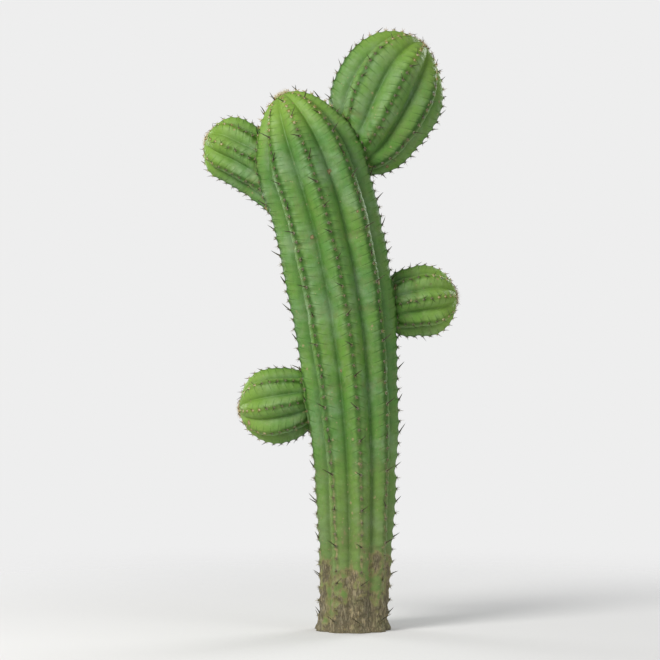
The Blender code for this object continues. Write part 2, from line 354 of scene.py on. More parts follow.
class Limb:
    """A ribbed body on a curve in an upright plane. Lengths are measured along the curve."""

    def __init__(self, name, root, heading, line, phase, twist=0.0):
        self.name = name
        self.root = np.asarray(root, float)
        way = math.radians(heading)
        self.outward = np.array((math.cos(way), math.sin(way), 0.0))
        self.front = np.cross(self.outward, UP)
        if self.front[1] > 0:
            self.front = -self.front
        self.phase = phase
        self.twist = twist
        self.line = line
        self.steps = np.linspace(0.0, 1.0, LINE_SAMPLES + 1)
        hops = np.linalg.norm(np.diff(bezier(line, self.steps), axis=0), axis=1)
        self.lengths = np.concatenate(((0.0,), np.cumsum(hops)))
        self.length = self.lengths[-1]

    def in_space(self, spots):
        """Points in space from pairs of outward and upward."""
        return spots[..., :1] * self.outward + spots[..., 1:] * UP

    def centre(self, s):
        return self.root + self.in_space(bezier(self.line, np.interp(s, self.lengths, self.steps)))

    def tangent(self, s):
        t = np.interp(s, self.lengths, self.steps)
        return unit(self.in_space(bezier(self.line[1:], t) - bezier(self.line[:-1], t)))

    def dome(self, s):
        """1 along the body, falling to 0 at the tip as an ellipse does."""
        past = np.clip((s - self.belly) / (self.length - self.belly), 0.0, 1.0)
        return np.sqrt(1 - past * past)

    def crest_radius(self, s):
        return self.girth(s) * self.dome(s)

    def crest_angle(self, s, rib):
        return np.radians(self.phase + self.twist * s / self.length + rib * 360 / RIBS)

    def radius(self, s, turn):
        return self.crest_radius(s) * (1 - self.furrow_depth(s) * furrow_share(turn))

    def around(self, s, angle):
        """The direction square to the line at this angle: 0 faces the viewer."""
        right = np.cross(self.tangent(s), self.front)
        return composed((self.front, right), (np.cos(angle), np.sin(angle)))

    def crest(self, s, rib):
        s = np.asarray(s, float)
        way = self.around(s, self.crest_angle(s, rib))
        return self.centre(s) + way * self.crest_radius(s)[..., None]

    def nearest(self, points):
        """The length along the line nearest to each point."""
        spots = np.linspace(0.0, self.length, LINE_SAMPLES + 1)
        best = np.full(len(points), np.inf)
        found = np.zeros(len(points))
        for s, centre in zip(spots, self.centre(spots)):
            away = ((points - centre) ** 2).sum(axis=1)
            closer = away < best
            best[closer] = away[closer]
            found[closer] = s
        return found

    def height_over(self, points, ribbed=True):
        """How far each point is outside this limb's skin or crests, negative inside them."""
        s = self.nearest(points)
        out = points - self.centre(s)
        if not ribbed:
            return np.linalg.norm(out, axis=1) - self.crest_radius(s)
        right = np.cross(self.tangent(s), self.front)
        angle = np.arctan2(dot(out, right), out @ self.front)
        turn = (angle - self.crest_angle(s, 0)) * RIBS / TAU
        return np.linalg.norm(out, axis=1) - self.radius(s, turn)

    def areoles(self, rib):
        """Lengths along the line of this rib's areoles, an even way apart along its crest."""
        spots = self.start + (self.length - self.start) * np.arange(AREOLE_SAMPLES) / AREOLE_SAMPLES
        hops = np.linalg.norm(np.diff(self.crest(spots, rib), axis=0), axis=1)
        gaps = self.gap_at(spots[1:])
        walked = self.gap_at(self.start) * (1 - rib * AREOLE_STAGGER % 1)
        found = []
        for s, hop, gap, radius in zip(spots[1:], hops, gaps, self.crest_radius(spots[1:])):
            walked += hop
            if walked >= gap and radius > LEAST_CREST_RADIUS:
                found.append(s)
                walked = 0.0
        return np.array(found)

    def row_step(self, s):
        return float(self.gap_at(s)) / ROWS_PER_AREOLE

    def fine_rows(self):
        """Lengths along the line of the skin's rows, closer together towards the tip."""
        body = [0.0]
        while body[-1] < self.belly:
            body.append(min(self.belly, body[-1] + self.row_step(body[-1])))
        dome = self.length - self.belly
        count = round(dome * TAU / 4 / self.row_step(self.length) * DOME_ROWS_SHARE)
        share = np.arange(1, count + 1) / (count + 1)
        return np.concatenate((body, self.belly + dome * np.sin(share * TAU / 4)))


class Stem(Limb):
    """The stem: it swells slowly to its belly, and flares a little at the ground."""

    def __init__(self):
        super().__init__("stem", (0, 0, 0), STEM_HEADING, STEM_LINE, STEM_PHASE, STEM_TWIST)
        self.belly = self.length - STEM_BELLY_FROM_TIP
        self.start = FIRST_AREOLE
        self.long_every = STEM_LONG_EVERY
        self.spine_length = STEM_SPINE_LENGTH
        self.scale = 1.0

    def girth(self, s):
        swell = (1 - np.cos(math.pi * np.minimum(1.0, s / self.belly) ** STEM_SWELL_POWER)) / 2
        flare = FOOT_FLARE * np.exp(-((s / FOOT_FLARE_HEIGHT) ** 2))
        return STEM_FOOT_RADIUS + (STEM_BELLY_RADIUS - STEM_FOOT_RADIUS) * swell + flare

    def furrow_depth(self, s):
        share = np.minimum(1.0, s / FURROW_GROWS_OVER)
        return FOOT_FURROW_DEPTH + (FURROW_DEPTH - FOOT_FURROW_DEPTH) * share

    def at_height(self, height):
        heights = self.centre(self.lengths)[:, 2]
        return self.centre(np.interp(height, heights, self.lengths))

    def gap_at(self, s):
        low, high = STEM_AREOLE_GAPS
        return low + (high - low) * s / self.length

    def row_step(self, s):
        share = float(smooth_step(*FOOT_ROWS_TO, s))
        return FOOT_ROW_STEP * (1 - share) + super().row_step(s) * share


class Arm(Limb):
    """An arm: it leaves the stem at its neck, swells to its belly and ends in a dome."""

    def __init__(self, name, stem, sizes):
        root = stem.at_height(sizes["height"]) + np.array((0, sizes["set_back"], 0))
        super().__init__(name, root, sizes["heading"], sizes["line"], sizes["phase"])
        self.belly = self.length - sizes["belly_from_tip"]
        self.neck = sizes["neck_at"]
        self.neck_radius = sizes["neck_radius"]
        self.belly_radius = sizes["belly_radius"]
        self.areole_gap = sizes["areole_gap"]
        self.long_every = sizes["long_every"]
        self.spine_length = sizes["spine_length"]
        self.start = self.neck
        self.scale = 1.0 if self.long_every > 1 else SMALL_ARM_SCALE

    def girth(self, s):
        root = self.neck_radius * (ROOT_SHARE + (1 - ROOT_SHARE) * s / self.neck)
        share = np.clip((s - self.neck) / (self.belly - self.neck), 0.0, 1.0)
        swell = np.sqrt(share * (2 - share))
        body = self.neck_radius + (self.belly_radius - self.neck_radius) * swell
        return np.where(s < self.neck, root, body)

    def furrow_depth(self, s):
        return FURROW_DEPTH + 0 * s

    def gap_at(self, s):
        return self.areole_gap + 0 * s


def areoles_passed(limb, s, turn):
    """How many areoles of its rib lie below each point, with the share of the way to the next."""
    s, turn = np.broadcast_arrays(s, turn)
    rib = np.round(turn).astype(int) % RIBS
    passed = np.zeros(s.shape)
    for number in range(RIBS):
        areoles = limb.areoles(number)
        ends = np.array((2 * areoles[0] - areoles[1], 2 * areoles[-1] - areoles[-2]))
        marks = np.concatenate((ends[:1], areoles, ends[1:]))
        here = rib == number
        passed[here] = np.interp(s[here], marks, np.arange(len(marks)))
    return passed


def seasons(limb, s, points):
    """How near each point is to a waist, and the tone of its own year's growth."""
    chance = random.Random(f"{limb.name} waists")
    level = s + rough(points, WAIST_WAVER)
    waist = np.zeros(points.shape[:-1])
    tone = np.full(points.shape[:-1], chance.random())
    spot = chance.uniform(*WAIST_GAPS)
    while spot < limb.belly:
        waist = np.maximum(waist, np.exp(-(((level - spot) / WAIST_WIDTH) ** 2)))
        later = smooth_step(spot - WAIST_WIDTH, spot + WAIST_WIDTH, level)
        tone = tone * (1 - later) + chance.random() * later
        spot += chance.uniform(*WAIST_GAPS)
    return waist * (WAIST_SHARE + rough(points, WAIST_UNEVEN)), tone


def scars(limb, points):
    """1 in the middle of each healed scar, falling to 0 away from it."""
    chance = random.Random(f"{limb.name} scars")
    marked = np.zeros(points.shape[:-1])
    for _ in range(round(limb.length * SCARS_PER_METRE)):
        s = np.array(limb.length * chance.uniform(*SCAR_SPAN))
        turn = np.array(chance.uniform(0, RIBS))
        radius = chance.uniform(*SCAR_RADII)
        way = limb.around(s, limb.crest_angle(s, 0) + turn * TAU / RIBS)
        spot = limb.centre(s) + way * limb.radius(s, turn)
        away = ((points - spot) ** 2).sum(axis=-1)
        marked = np.maximum(marked, np.exp(-away / radius**2))
    return marked


def corkiness(limb, s, points):
    """1 on the old corky foot of the stem, 0 on green skin, with a ragged edge."""
    if limb.name != "stem":
        return np.zeros(points.shape[:-1])
    return 1 - smooth_step(*CORK_SPAN, s + rough(points, CORK_EDGE))


def crack_lines(points, stretch, scale, width, seed):
    """1 along the lines where the stretched noise passes 0, falling to 0 away from them."""
    noise = lumps(points * np.array(stretch), scale, seed, CRACK_WAVES)
    return np.exp(-((noise / width) ** 2))


def bark_cracks(points):
    """How deep in one of the bark's cracks each point is, 0 to 1."""
    level = LEVEL_CRACK_SHARE * crack_lines(points, *LEVEL_CRACKS)
    return np.maximum(crack_lines(points, *UPRIGHT_CRACKS), level)


def relief(limb, s, turn, points):
    """How far the real skin stands out of the plain ribs, in metres."""
    across = across_rib(turn)
    crown = np.cos(across * math.pi / 2) ** CROWN_POWER
    tubercle = TUBERCLE * (0.5 * np.cos(TAU * areoles_passed(limb, s, turn)) - TUBERCLE_SINK)
    slanted = areoles_passed(limb, s + NOTCH_SLANT * across, turn) % 1 - NOTCH_PHASE
    notch = NOTCH * np.exp(-((slanted / NOTCH_WIDTH) ** 2)) * (1 - across)
    if limb.name == "stem":
        notch = notch * smooth_step(*NOTCH_FADES_AT, s)
    offset = (tubercle * crown - notch) * limb.scale
    pleats = np.sin(s * TAU / PLEAT_LENGTH + across * PLEAT_SLANT + np.round(turn) * PLEAT_SHIFT)
    offset += PLEAT * pleats * np.sin(across * math.pi)
    offset += rough(points, SKIN_LUMPS)
    offset -= WAIST * seasons(limb, s, points)[0]
    offset -= SCAR_DEPTH * scars(limb, points)
    if limb.name == "stem":
        cork = smooth_step(*BARK_FROM, corkiness(limb, s, points))
        bark = CRACK_DEPTH * (BARK_PROUD - bark_cracks(points))
        offset += cork * (bark + rough(points, BARK_LUMPS))
    return offset * np.clip(limb.crest_radius(s) / FADE_RADIUS, 0.0, 1.0)


def outside(others, points, ribbed=True):
    """How far each point is outside the nearest of the other limbs."""
    return np.min([other.height_over(points, ribbed) for other in others], axis=0)


def near(away, amount, reach):
    """The amount where limbs meet, falling to 0 over about the reach."""
    return amount * np.exp(-((np.maximum(away, 0.0) / reach) ** 2))


def surface(limb, s, turn, others):
    """Points of the finished skin, and how far outside the nearest other limb each one is."""
    s, turn = np.broadcast_arrays(np.asarray(s, float), np.asarray(turn, float))
    way = limb.around(s, limb.crest_angle(s, 0) + turn * TAU / RIBS)
    plain = limb.centre(s) + way * limb.radius(s, turn)[..., None]
    away = outside(others, plain.reshape(-1, 3)).reshape(s.shape)
    offset = relief(limb, s, turn, plain)
    if limb.name == "stem":
        sunk = limb.crest_radius(s) - limb.radius(s, turn)
        offset += sunk * near(away, *FURROW_FILL)
        offset += near(away, *COLLAR)
    else:
        sunk = limb.crest_radius(s) * (1 - FURROW_DEPTH / 2) - limb.radius(s, turn)
        offset += sunk * near(away, *NECK_ROUNDING)
        offset -= near(away, *NECK_PINCH)
    return plain + way * offset[..., None], away


def add_object(name, data):
    made = bpy.data.objects.new(name, data)
    bpy.context.scene.collection.objects.link(made)
    return made


def new_piece(limb, kind, shape, material):
    """A smooth mesh piece that rides on the plant and stands for its limb's CAD node."""
    points, faces = shape
    name = f"{limb.name}_{kind}"
    mesh = bpy.data.meshes.new(name)
    mesh.from_pydata(points.tolist(), [], faces)
    mesh.update()
    mesh.shade_smooth()
    mesh.materials.append(material)
    piece = add_object(name, mesh)
    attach(piece, BODY)
    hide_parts(limb.name)
    return piece


def skin_faces(limb, away):
    """Rows of quads, a fan at the tip and the stem's flat foot. An arm's deep end is left out."""
    count, width = away.shape
    number = np.arange(count * width).reshape(count, width)
    onward = np.roll(number, -1, axis=1)
    quads = np.stack((number[:-1], onward[:-1], onward[1:], number[1:]), axis=-1).reshape(-1, 4)
    if limb.name != "stem":
        hidden = (away < -HIDDEN_DEPTH).ravel()
        quads = quads[~hidden[quads].all(axis=1)]
    faces = quads.tolist()
    faces += [[a, b, count * width] for a, b in zip(number[-1].tolist(), onward[-1].tolist())]
    if limb.name == "stem":
        faces.append(number[0, ::-1].tolist())
    return faces


def skin_values(limb, s, turns, grid, away):
    """What the skin's material reads at each point of the grid, and last at the tip."""
    waist, season = seasons(limb, s, grid)
    passed = areoles_passed(limb, s, turns)
    values = {
        "across": across_rib(turns),
        "cork": corkiness(limb, s, grid),
        "from_tip": limb.length - s,
        "joint": np.exp(-np.maximum(away, 0.0) / SEAM_REACH),
        "from_foot": grid[..., 2],
        "scar": scars(limb, grid),
        "crack": bark_cracks(grid),
        "waist": waist,
        "season": season,
        "areoles_passed": passed,
    }
    top = limb.centre(limb.length)[2]
    at_tip = {"from_foot": top, "season": season.mean(), "areoles_passed": passed.max()}
    return {
        name: np.append(np.broadcast_to(kept, away.shape), at_tip.get(name, 0.0))
        for name, kept in values.items()
    }


def skin_piece(limb, others, material):
    """The limb's skin, with what its material reads kept at its points."""
    s = limb.fine_rows()[:, None]
    turns = np.arange(RIBS * FINE_PER_RIB)[None, :] / FINE_PER_RIB
    grid, away = surface(limb, s, turns, others)
    points = np.vstack((grid.reshape(-1, 3), limb.centre(limb.length)))
    faces = skin_faces(limb, away)
    used = np.zeros(len(points), bool)
    used[np.concatenate(faces)] = True
    renumber = (np.cumsum(used) - 1).tolist()
    faces = [[renumber[i] for i in face] for face in faces]
    piece = new_piece(limb, "ribbed_skin", (points[used], faces), material)
    for name, kept in skin_values(limb, s, turns, grid, away).items():
        attribute = piece.data.attributes.new(name, "FLOAT", "POINT")
        attribute.data.foreach_set("value", kept[used].astype(np.float32))


def repeated(plan, count, each):
    """The faces of many like shapes, each with the plan's faces and so many points."""
    return [[start + i for i in face] for start in range(0, count * each, each) for face in plan]


def cones(roots, ways, lengths, widths, bends, shape, sink=0.0):
    """Many thin cones, each closed at its root and bent towards its tip: points and faces."""
    sides, segments = shape
    bases = roots - ways * sink
    lengths = lengths + sink
    helper = np.where(np.abs(ways[:, 2:]) < NEAR_UPRIGHT, UP, np.array((1.0, 0.0, 0.0)))
    side = unit(np.cross(ways, helper))
    other = np.cross(ways, side)
    share = np.arange(segments) / segments
    reach = lengths[:, None] * share
    middle = bases[:, None] + composed((ways[:, None], bends[:, None]), (reach, reach * share))
    half = widths[:, None] / 2 * (1 - share) ** CONE_TAPER
    angle = TAU * np.arange(sides)[:, None] / sides
    ring = side[:, None, None] * np.cos(angle) + other[:, None, None] * np.sin(angle)
    rings = middle[:, :, None] + ring * half[:, :, None, None]
    apex = bases + (ways + bends) * lengths[:, None]
    points = np.concatenate((rings.reshape(len(roots), -1, 3), apex[:, None]), axis=1)
    plan = [list(range(sides))[::-1]]
    for low in range(0, (segments - 1) * sides, sides):
        for i in range(sides):
            j = (i + 1) % sides
            plan.append([low + i, low + j, low + sides + j, low + sides + i])
    last = (segments - 1) * sides
    tip = last + sides
    plan += [[last + i, last + (i + 1) % sides, tip] for i in range(sides)]
    return points.reshape(-1, 3), repeated(plan, len(roots), tip + 1)


def pads(spots, axes, sizes, chance):
    """Many low cushions, closed below. The axes run along, aside and out."""
    count = len(spots)
    turn = TAU * np.arange(PAD_SEGMENTS) / PAD_SEGMENTS
    lean = (TAU / 4) * (np.arange(PAD_RINGS) + 1)[:, None] / PAD_RINGS
    rise = np.cos(lean) * (1 + PAD_SINK) - PAD_SINK
    uneven = 1 + PAD_UNEVEN * chance.normal(size=(count, PAD_RINGS, PAD_SEGMENTS))
    grow = sizes[:, None, None] * uneven
    shares = (
        np.sin(lean) * np.cos(turn) * grow * PAD_LENGTH,
        np.sin(lean) * np.sin(turn) * grow * PAD_WIDTH,
        rise * grow * PAD_HEIGHT,
    )
    rings = spots[:, None, None] + composed([axis[:, None, None] for axis in axes], shares)
    tops = spots + axes[2] * (sizes * PAD_HEIGHT)[:, None]
    points = np.concatenate((rings.reshape(count, -1, 3), tops[:, None]), axis=1)
    last = (PAD_RINGS - 1) * PAD_SEGMENTS
    highest = last + PAD_SEGMENTS
    plan = [[i, (i + 1) % PAD_SEGMENTS, highest] for i in range(PAD_SEGMENTS)]
    for a in range(0, last, PAD_SEGMENTS):
        b = a + PAD_SEGMENTS
        for i in range(PAD_SEGMENTS):
            j = (i + 1) % PAD_SEGMENTS
            plan.append([a + i, b + i, b + j, a + j])
    plan.append([last + i for i in range(PAD_SEGMENTS)][::-1])
    return points.reshape(-1, 3), repeated(plan, count, highest + 1)


class Areoles:
    """Every areole of a limb that shows: its place, its rib and its axes along, aside and out."""

    def __init__(self, limb, others):
        found = [limb.areoles(rib) for rib in range(RIBS)]
        self.s = np.concatenate(found)
        self.rib = np.repeat(np.arange(RIBS), [len(spots) for spots in found])
        self.order = np.concatenate([np.arange(len(spots)) for spots in found])
        crest = limb.crest(self.s, self.rib)
        clear = outside(others, crest) > AREOLE_CLEARANCE
        self.s, self.rib, self.order = self.s[clear], self.rib[clear], self.order[clear]
        self.crest = crest[clear]
        self.skin, _ = surface(limb, self.s, self.rib, others)
        ahead = limb.crest(np.minimum(self.s + CREST_STEP, limb.length), self.rib)
        along = unit(ahead - limb.crest(self.s - CREST_STEP, self.rib))
        out = limb.around(self.s, limb.crest_angle(self.s, self.rib))
        out = unit(square_to(along, out))
        self.axes = (along, np.cross(along, out), out)
        self.young = limb.length - self.s < YOUNG_REACH * limb.scale


def clear_of(others, spots, ways, lengths):
    """Which spines keep clear of the other limbs all along."""
    clear = np.ones(len(spots), bool)
    for share in (0.0, 0.5, 1.0):
        points = spots + ways * (lengths * share)[:, None]
        clear &= outside(others, points, ribbed=False) > SPINE_CLEARANCE
    return clear


def long_spines(limb, areoles, others):
    """Areoles, ways and lengths of the long spines, by the part's own rule."""
    ways, lengths, kept = [], [], []
    for number, (rib, order) in enumerate(zip(areoles.rib.tolist(), areoles.order.tolist())):
        if order % limb.long_every:
            continue
        count = order // limb.long_every
        chance = random.Random(f"{limb.name} {rib} {count}")
        splay = SPINE_SPLAY if (count + rib) % 2 else -SPINE_SPLAY
        axes = [axis[number] for axis in areoles.axes]
        way = composed(axes, (SPINE_LEAN, splay, SPINE_LIFT))
        way = way + np.array([chance.uniform(-SPINE_JITTER, SPINE_JITTER) for _ in range(3)])
        ways.append(unit(way))
        jitter = chance.uniform(-SPINE_LENGTH_JITTER, SPINE_LENGTH_JITTER)
        lengths.append(limb.spine_length * (1 + jitter))
        kept.append(number)
    ways, lengths, kept = np.array(ways), np.array(lengths), np.array(kept)
    clear = clear_of(others, areoles.crest[kept], ways, lengths)
    return kept[clear], ways[clear], lengths[clear]


def short_spines(limb, areoles, has_long, others, chance):
    """Areoles, ways, lengths and widths of the radial and the short central spines."""
    found = []
    count = len(areoles.s)
    for number in range(RADIALS):
        turn = TAU * (number + 0.5) / RADIALS + chance.normal(0, RADIAL_JITTER, count)
        lift = chance.uniform(*RADIAL_LIFTS, count)
        way = unit(composed(areoles.axes, (np.cos(turn), np.sin(turn), lift)))
        lengths = chance.uniform(*RADIAL_LENGTHS, count) * limb.scale
        found.append((np.arange(count), way, lengths, np.full(count, RADIAL_WIDTH)))
    lone = np.flatnonzero(~has_long)
    out = areoles.axes[2][lone]
    for _ in range(CENTRALS):
        way = unit(CENTRAL_LIFT * out + CENTRAL_JITTER * chance.normal(size=out.shape))
        lengths = chance.uniform(*CENTRAL_LENGTHS, len(lone)) * limb.scale
        found.append((lone, way, lengths, np.full(len(lone), CENTRAL_WIDTH)))
    owners, ways, lengths, widths = [np.concatenate(kind) for kind in zip(*found)]
    clear = outside(others, areoles.skin[owners] + ways * lengths[:, None]) > SHORT_CLEARANCE
    return owners[clear], ways[clear], lengths[clear], widths[clear]


def spine_pieces(limb, areoles, others, materials):
    """The long spines as one piece, and the short ones as a piece for each tone."""
    chance = np.random.default_rng(len(areoles.s) * 7 + 3)
    kept, ways, lengths = long_spines(limb, areoles, others)
    bends = square_to(ways, LONG_BEND * chance.normal(size=ways.shape))
    widths = lengths * LONG_WIDTH_SHARE
    shape = cones(areoles.skin[kept], ways, lengths, widths, bends, LONG_CONE, LONG_SINK)
    new_piece(limb, "long_spines", shape, materials["dark"])

    has_long = np.zeros(len(areoles.s), bool)
    has_long[kept] = True
    owners, ways, lengths, widths = short_spines(limb, areoles, has_long, others, chance)
    bends = square_to(ways, SHORT_BEND * chance.normal(size=ways.shape))
    tones = np.array(("brown", "straw"))[chance.integers(0, 2, len(owners))]
    tones[areoles.young[owners]] = "young"
    spines = (areoles.skin[owners], ways, lengths, widths, bends)
    for tone in ("brown", "straw", "young"):
        own = [values[tones == tone] for values in spines]
        shape = cones(*own, SHORT_CONE, SHORT_SINK)
        new_piece(limb, f"{tone}_short_spines", shape, materials[tone])


def hairs(spots, axes, sizes, chance):
    """The wool's loose hairs, short, bent and low round each areole."""
    count = len(spots) * HAIRS_PER_AREOLE
    owner = np.repeat(np.arange(len(spots)), HAIRS_PER_AREOLE)
    turn = chance.uniform(0, TAU, count)
    reach = np.sqrt(chance.uniform(0, 1, count)) * HAIR_REACH
    a, b = np.cos(turn), np.sin(turn)
    size = sizes[owner]
    axes = [axis[owner] for axis in axes]
    seat = (a * reach * PAD_LENGTH, b * reach * PAD_WIDTH, HAIR_ROOT_RISE * PAD_HEIGHT)
    roots = spots[owner] + composed(axes, seat) * size[:, None]
    jitter = HAIR_JITTER * chance.normal(size=(count, 3))
    ways = unit(composed(axes, (a * HAIR_SPREAD, b * HAIR_SPREAD, HAIR_LIFT)) + jitter)
    bends = HAIR_JITTER * chance.normal(size=(count, 3))
    lengths = HAIR_LENGTH * size * chance.uniform(*HAIR_LENGTH_SHARES, count)
    return cones(roots, ways, lengths, HAIR_WIDTH * size, bends, HAIR_CONE)


def joined(first, second):
    """Two shapes' points and faces as one."""
    start = len(first[0])
    faces = first[1] + [[start + i for i in face] for face in second[1]]
    return np.vstack((first[0], second[0])), faces


def wool_pieces(limb, areoles, materials):
    """The areoles' wool: cream on the young ones, grey on the rest."""
    chance = np.random.default_rng(len(areoles.s) * 11 + 5)
    for tone, own in (("cream", areoles.young), ("grey", ~areoles.young)):
        seats = (areoles.skin[own], [axis[own] for axis in areoles.axes])
        sizes = chance.uniform(*PAD_SIZES, own.sum()) * limb.scale
        shape = joined(pads(*seats, sizes, chance), hairs(*seats, sizes, chance))
        new_piece(limb, f"{tone}_wool", shape, materials[tone])


def tip_points(limb, others, wide, chance, count, span=(0, 1)):
    """Points scattered over the tip, and the dome's outward way at each. The span is of area."""
    reach = wide * np.sqrt(chance.uniform(*span, count))
    turn = chance.uniform(0, TAU, count)
    share = np.clip(reach / limb.crest_radius(limb.belly), 0.0, 1.0)
    s = limb.belly + (limb.length - limb.belly) * np.sqrt(1 - share**2)
    points, _ = surface(limb, s, turn * RIBS / TAU, others)
    axis = limb.tangent(limb.length)
    centre = limb.centre(limb.length) - axis * (limb.length - limb.belly)
    return points, unit(unit(points - centre) + axis * TIP_LEAN)


def tip_wool(limb, others, wide, chance):
    """The hairs and cushions that cover the tip."""
    points, outs = tip_points(limb, others, wide, chance, TIP_HAIRS)
    ways = unit(outs + TIP_HAIR_JITTER * chance.normal(size=outs.shape))
    bends = TIP_HAIR_BEND * chance.normal(size=outs.shape)
    lengths = chance.uniform(*TIP_HAIR_LENGTHS, TIP_HAIRS)
    widths = np.full(TIP_HAIRS, TIP_HAIR_WIDTH)
    loose = cones(points - outs * TIP_SINK, ways, lengths, widths, bends, HAIR_CONE)
    spots, out = tip_points(limb, others, wide * TIP_CUSHION_REACH, chance, TIP_CUSHIONS)
    along = unit(np.cross(out, unit(chance.normal(size=out.shape))))
    sizes = chance.uniform(*TIP_CUSHION_SIZES, TIP_CUSHIONS)
    return joined(loose, pads(spots, (along, np.cross(along, out), out), sizes, chance))


def tip_spines(limb, others, wide, chance):
    """The season's fresh spines, which stand out of the wool."""
    points, outs = tip_points(limb, others, wide, chance, TIP_SPINES, TIP_SPINE_SPAN)
    ways = unit(outs + TIP_SPINE_JITTER * chance.normal(size=outs.shape))
    lengths = chance.uniform(*TIP_SPINE_LENGTHS, TIP_SPINES) * limb.scale
    bends = SHORT_BEND * chance.normal(size=outs.shape)
    widths = np.full(TIP_SPINES, RADIAL_WIDTH)
    return cones(points, ways, lengths, widths, bends, SHORT_CONE, TIP_SINK)


def tip_pieces(limb, others, materials):
    chance = np.random.default_rng(round(limb.length * 1000))
    wide = TIP_WOOL_RADIUS * (TIP_LEAST_SHARE + (1 - TIP_LEAST_SHARE) * limb.scale)
    wool = tip_wool(limb, others, wide, chance)
    new_piece(limb, "tip_wool", wool, materials["cream"])
    spines = tip_spines(limb, others, wide, chance)
    new_piece(limb, "tip_spines", spines, materials["young"])


class Look:
    """A material's node tree, with short ways to add nodes. Noises are in patterns a metre."""

    def __init__(self, name):
        self.material = bpy.data.materials.new(name)
        self.material.use_nodes = True
        self.tree = self.material.node_tree
        self.surface = self.tree.nodes["Principled BSDF"]

    def put(self, socket, value):
        """Links the value to the socket, or sets it if it is plain."""
        if isinstance(value, bpy.types.NodeSocket):
            self.tree.links.new(value, socket)
        else:
            socket.default_value = value

    def finish(self, **values):
        """The material, with these inputs of its surface. Their names have _ for a space."""
        for name, value in values.items():
            self.put(self.surface.inputs[name.replace("_", " ")], value)
        return self.material

    def node(self, kind, inputs, **settings):
        """Adds a node of this kind and gives its outputs."""
        made = self.tree.nodes.new(f"ShaderNode{kind}")
        for name, value in settings.items():
            setattr(made, name, value)
        for name, value in inputs.items():
            self.put(made.inputs[name], value)
        return made.outputs

    def value(self, name):
        """A value that the skin keeps at its points."""
        return self.node("Attribute", {}, attribute_name=name)["Fac"]

    def place(self, stretch=(1, 1, 1)):
        spot = self.node("TexCoord", {})["Object"]
        return self.node("Mapping", {"Vector": spot, "Scale": stretch})["Vector"]

    def noise(self, scale, detail=3.0, rough=0.55, stretch=(1, 1, 1), warp=0.0):
        inputs = {
            "Vector": self.place(stretch), "Scale": scale, "Detail": detail,
            "Roughness": rough, "Distortion": warp,
        }
        return self.node("TexNoise", inputs)["Fac"]

    def cells(self, scale):
        return self.node("TexVoronoi", {"Vector": self.place(), "Scale": scale})

    def ramp(self, value, at=(0.0, 1.0), to=(0.0, 1.0)):
        """A smooth change between the two ends of to, as the value crosses the span at."""
        inputs = {
            "Value": value, "From Min": at[0], "From Max": at[1], "To Min": to[0], "To Max": to[1],
        }
        return self.node("MapRange", inputs, interpolation_type="SMOOTHSTEP")["Result"]

    def calc(self, operation, *values):
        return self.node("Math", dict(enumerate(values)), operation=operation)[0]

    def plus(self, a, b):
        return self.calc("ADD", a, b)

    def minus(self, a, b):
        return self.calc("SUBTRACT", a, b)

    def times(self, a, b):
        return self.calc("MULTIPLY", a, b)

    def mix(self, share, a, b):
        """Colour a, with this share of colour b."""
        return self.node("Mix", {0: share, 6: a, 7: b}, data_type="RGBA")[2]

    def layered(self, colour, *layers):
        """The colour under layers, each with its value, the two spans of its ramp and a colour."""
        for value, at, to, layer in layers:
            colour = self.mix(self.ramp(value, at, to), colour, layer)
        return colour

    def bump(self, height, strength, distance, under=None):
        inputs = {"Height": height, "Strength": strength, "Distance": distance}
        if under is not None:
            inputs["Normal"] = under
        return self.node("Bump", inputs)["Normal"]


def green_layers(look, edge, aged, mottle):
    """Green skin: bluer and older patches, painted shade that darkens the furrows, darker crests, a
    pale waxy bloom.
    """
    bluer = look.ramp(look.noise(1.7, 4, 0.6), (0.36, 0.64))
    streaks = look.noise(26.0, 3, 0.6, stretch=(1, 1, 0.16))
    bloom = look.noise(5.0, 6, 0.66)
    specks = look.cells(210.0)["Distance"]
    return look.layered(
        look.mix(bluer, FLANK_GREEN, FLANK_BLUER),
        (mottle, (0.0, 1.0), (0.0, 0.30), OLD_GREEN),
        (streaks, (0.48, 0.72), (0.0, 0.30), GRAIN_AND_FURROW_SHADE_GREEN),
        (look.value("season"), (0.0, 1.0), (0.0, 0.30), SEASON_GREEN),
        # Painted shade: the furrows darkened towards their bottoms
        (edge, (0.60, 1.0), (0.0, 0.75), GRAIN_AND_FURROW_SHADE_GREEN),
        (bloom, (0.46, 0.70), (0.0, 0.34), BLOOM),
        (edge, (0.05, 0.30), (0.88, 0.0), CREST_GREEN_AND_CREASE_SHADE),
        (look.value("from_tip"), (0.02, 0.36), (0.60, 0.0), TIP_GREEN),
        (aged, (0.0, 1.0), (0.0, 0.50), OLD_GREEN),
        (specks, (0.10, 0.26), (0.36, 0.0), SPECK_PALE),
    )


def crease_lines(look, across):
    """The fine creases that run down both flanks from just above each areole."""
    slant = look.times(across, 0.6)
    phase = look.calc("FRACT", look.plus(look.value("areoles_passed"), slant))
    off_line = look.calc("ABSOLUTE", look.minus(phase, NOTCH_PHASE))
    on_line = look.ramp(off_line, (0.015, 0.075), (1.0, 0.0))
    near_crest = look.ramp(across, (0.25, 0.85), (1.0, 0.0))
    young = look.ramp(look.value("from_foot"), NOTCH_FADES_AT)
    return look.times(look.times(on_line, near_crest), young)


